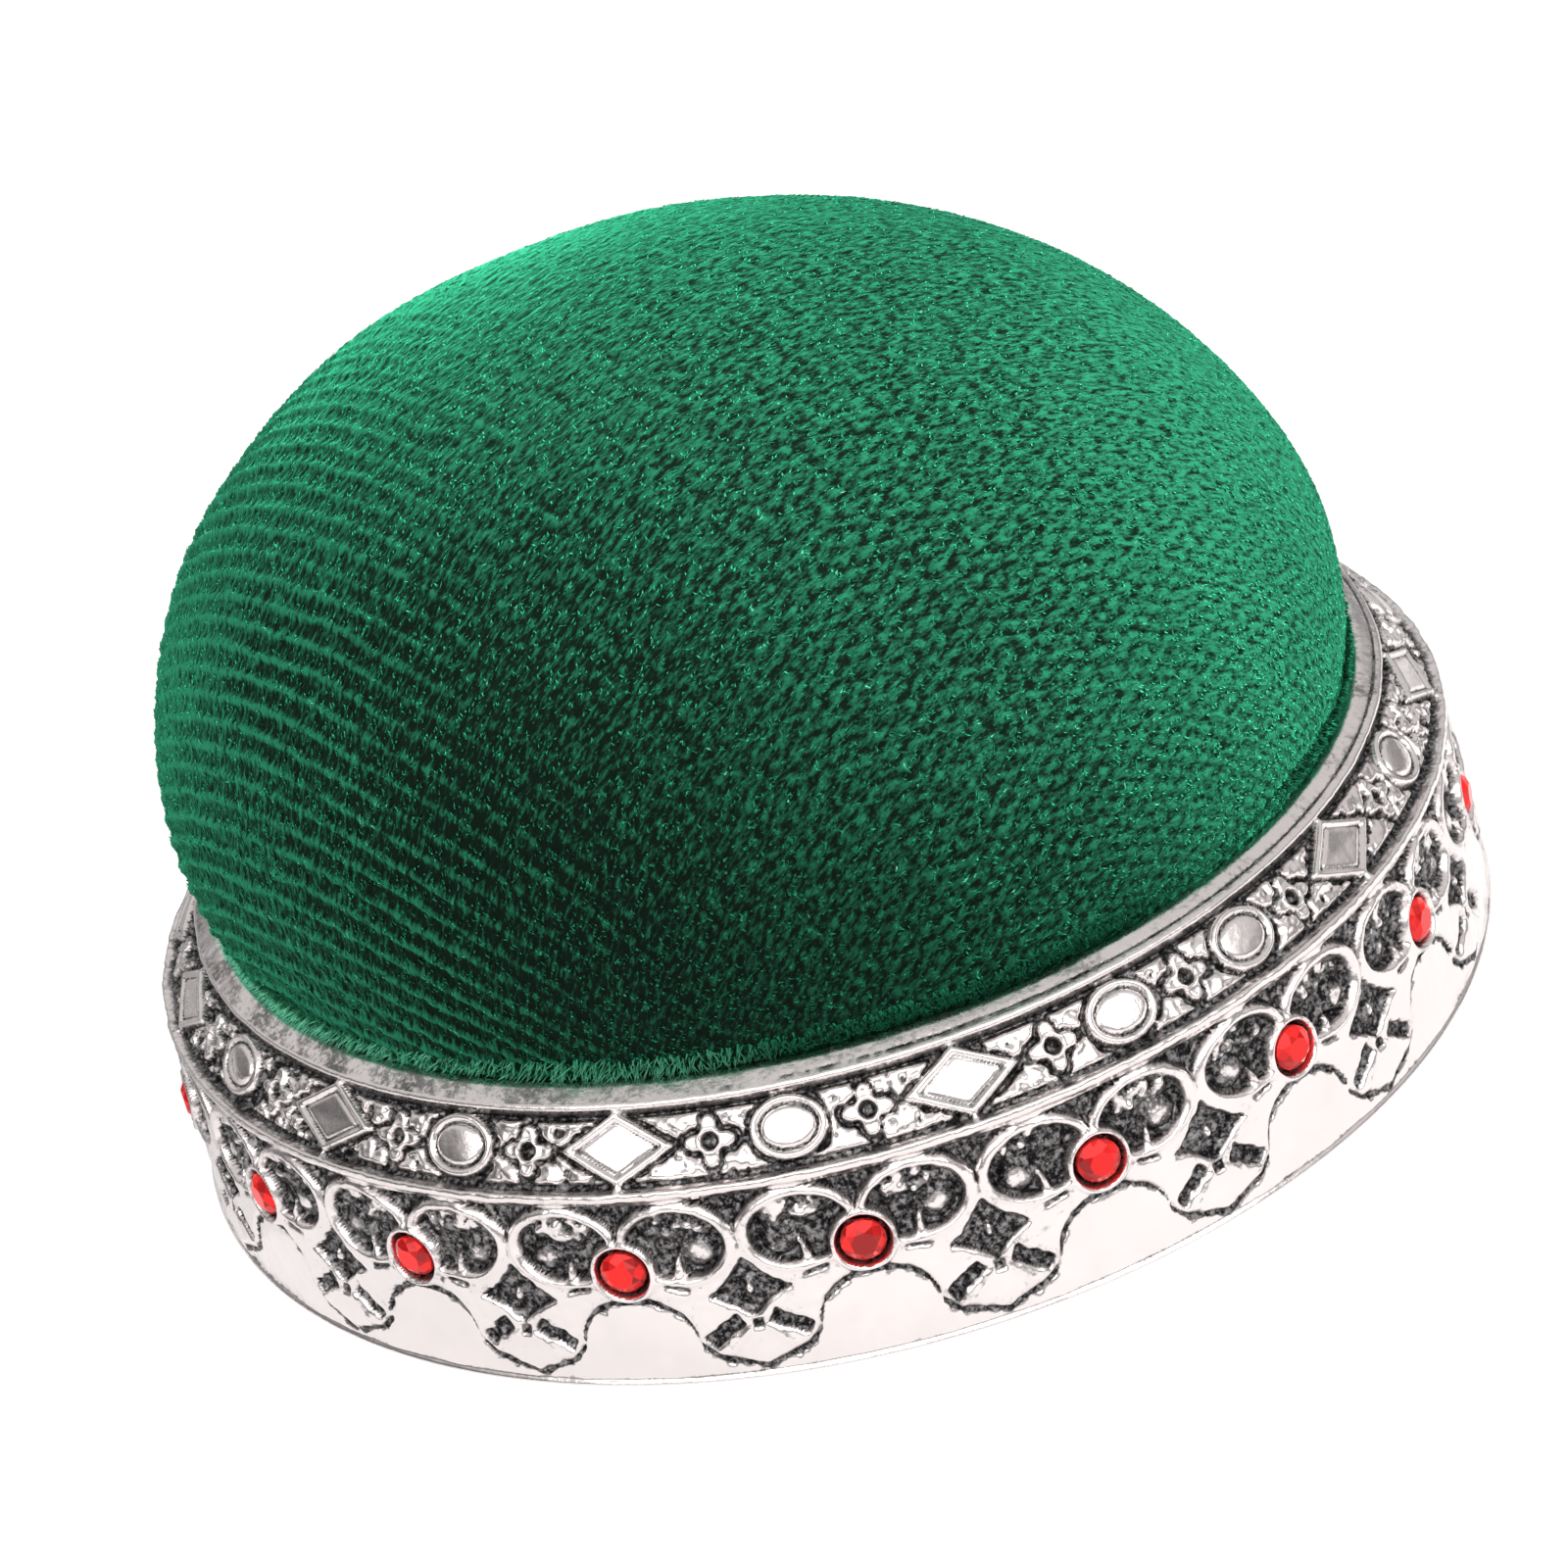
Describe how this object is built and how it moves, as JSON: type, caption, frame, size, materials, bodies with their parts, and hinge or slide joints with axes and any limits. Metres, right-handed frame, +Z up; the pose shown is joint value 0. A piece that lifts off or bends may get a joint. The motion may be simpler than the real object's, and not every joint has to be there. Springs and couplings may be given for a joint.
{
  "type": "pin cushion",
  "caption": "Round tabletop pin cushion: a ribbed green velvet dome glued into a crown-like cast silver tray set with small red stones.",
  "frame": {"origin": "centre of the base's underside, on the surface that it stands on", "axes": "+Z up through the middle of the base, -Y towards the viewer, +X to the viewer's right"},
  "size_m": [0.06, 0.06, 0.0362],
  "materials": {
    "antique_silver": "antiqued silver plate on a zinc die casting, bright on the high spots and dark in the recesses",
    "velvet": "ribbed green velvet pile",
    "red_stone": "faceted red crystal with a foiled back",
    "filling": "packed white fibre",
    "board": "plain grey board",
    "thread": "twisted green sewing thread",
    "glue": "set glue, slightly cloudy",
    "base_felt": "pressed black felt"
  },
  "bodies": {
    "root": {"base_casting": "antique_silver", "felt_pad": "base_felt", "glue_bed": "glue", "backing_board": "board", "fibre_filling": "filling", "velvet_cover": "velvet", "gathering_thread": "thread", "rhinestone_01": "red_stone", "rhinestone_02": "red_stone", "rhinestone_03": "red_stone", "rhinestone_04": "red_stone", "rhinestone_05": "red_stone", "rhinestone_06": "red_stone", "rhinestone_07": "red_stone", "rhinestone_08": "red_stone", "rhinestone_09": "red_stone", "rhinestone_10": "red_stone", "rhinestone_11": "red_stone", "rhinestone_12": "red_stone", "rhinestone_13": "red_stone", "rhinestone_14": "red_stone", "rhinestone_15": "red_stone", "rhinestone_16": "red_stone", "rhinestone_17": "red_stone", "rhinestone_18": "red_stone"}
  },
  "joints": []
}
